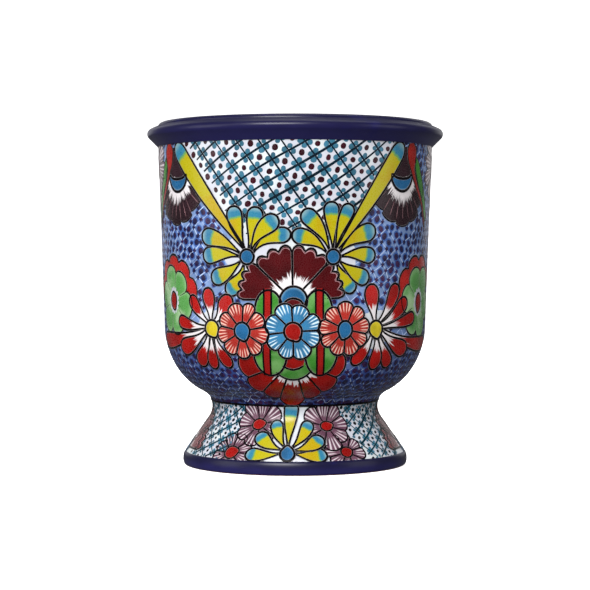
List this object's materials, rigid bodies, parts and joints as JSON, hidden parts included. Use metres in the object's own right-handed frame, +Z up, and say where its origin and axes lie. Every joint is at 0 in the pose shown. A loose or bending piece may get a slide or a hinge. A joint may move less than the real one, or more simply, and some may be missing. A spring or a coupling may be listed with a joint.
{
  "type": "footed urn planter",
  "caption": "Hand-painted earthenware urn planter: deep round bowl with a rolled rim on a flared hollow pedestal with a rolled foot.",
  "frame": {"origin": "centre of the resting face, on the axis of revolution", "axes": "+Z up along the axis of revolution; -Y is the side that the main painted panel faces"},
  "size_m": [0.305, 0.305, 0.352],
  "materials": {
    "painted_glaze": "gloss",
    "cobalt_glaze": "gloss",
    "white_glaze": "gloss",
    "clay_slip": "matte"
  },
  "bodies": {
    "root": {"bowl": "painted_glaze", "rim_slip": "clay_slip", "rim_roll": "cobalt_glaze", "neck_slip": "clay_slip", "pedestal": "white_glaze", "foot_slip": "clay_slip", "foot_roll": "cobalt_glaze"}
  },
  "joints": []
}
